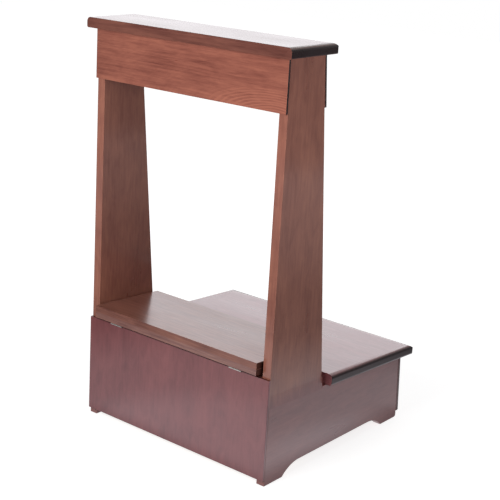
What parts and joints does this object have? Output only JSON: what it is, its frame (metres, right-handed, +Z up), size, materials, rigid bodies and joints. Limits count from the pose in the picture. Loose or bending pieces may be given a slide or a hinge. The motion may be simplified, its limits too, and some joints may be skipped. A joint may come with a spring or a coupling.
{
  "type": "prie-dieu kneeler",
  "caption": "Wooden prie-dieu with a narrow top board on tapered uprights, a lidded compartment between their feet and a sloping kneeling board behind.",
  "frame": {"origin": "on the floor, in the middle of the stand's whole width and depth", "axes": "+X to the stand's right, +Y from the front panel to the kneeling board's nose, +Z up"},
  "size_m": [0.526, 0.5354, 0.88],
  "materials": {
    "stained_board": "mahogany-brown stain under gloss clear lacquer",
    "stained_panel": "mahogany-brown stain under gloss clear lacquer",
    "raw_timber": "bare planed softwood and beech",
    "steel": "zinc-plated steel"
  },
  "bodies": {
    "frame": {"base_side_left": "stained_panel", "base_side_right": "stained_panel", "compartment_back": "stained_panel", "compartment_floor": "raw_timber", "corner_block_1": "raw_timber", "corner_block_2": "raw_timber", "floor_cleat_left": "raw_timber", "floor_cleat_right": "raw_timber", "foot_dowel_1": "raw_timber", "foot_dowel_2": "raw_timber", "foot_dowel_3": "raw_timber", "foot_dowel_4": "raw_timber", "front_apron": "stained_board", "front_panel": "stained_panel", "hinge_pin_left": "steel", "hinge_pin_right": "steel", "hinge_rail": "stained_board", "hinge_rail_leaf_left": "steel", "hinge_rail_leaf_right": "steel", "hinge_rail_screw_1": "steel", "hinge_rail_screw_2": "steel", "hinge_rail_screw_3": "steel", "hinge_rail_screw_4": "steel", "kneeler_cleat_left": "raw_timber", "kneeler_cleat_right": "raw_timber", "kneeler_screw_1": "steel", "kneeler_screw_2": "steel", "kneeler_screw_3": "steel", "kneeler_screw_4": "steel", "kneeling_board": "stained_board", "rear_apron": "stained_board", "rear_panel": "stained_panel", "top_board": "stained_board", "top_board_screw_1": "steel", "top_board_screw_2": "steel", "top_board_screw_3": "steel", "top_board_screw_4": "steel", "top_cleat_left": "raw_timber", "top_cleat_right": "raw_timber", "top_dowel_1": "raw_timber", "top_dowel_2": "raw_timber", "top_dowel_3": "raw_timber", "top_dowel_4": "raw_timber", "upright_left": "stained_board", "upright_right": "stained_board"},
    "lid": {"hinge_lid_leaf_left": "steel", "hinge_lid_leaf_right": "steel", "hinge_lid_screw_1": "steel", "hinge_lid_screw_2": "steel", "hinge_lid_screw_3": "steel", "hinge_lid_screw_4": "steel", "lid_board": "stained_board", "lid_lath": "stained_board"}
  },
  "joints": [
    {"name": "lid_hinge", "type": "hinge", "parent": "frame", "child": "lid", "pos_m": [0, -0.2562, 0.2315], "axis": [1, 0, 0], "range_deg": [0, 130]}
  ]
}
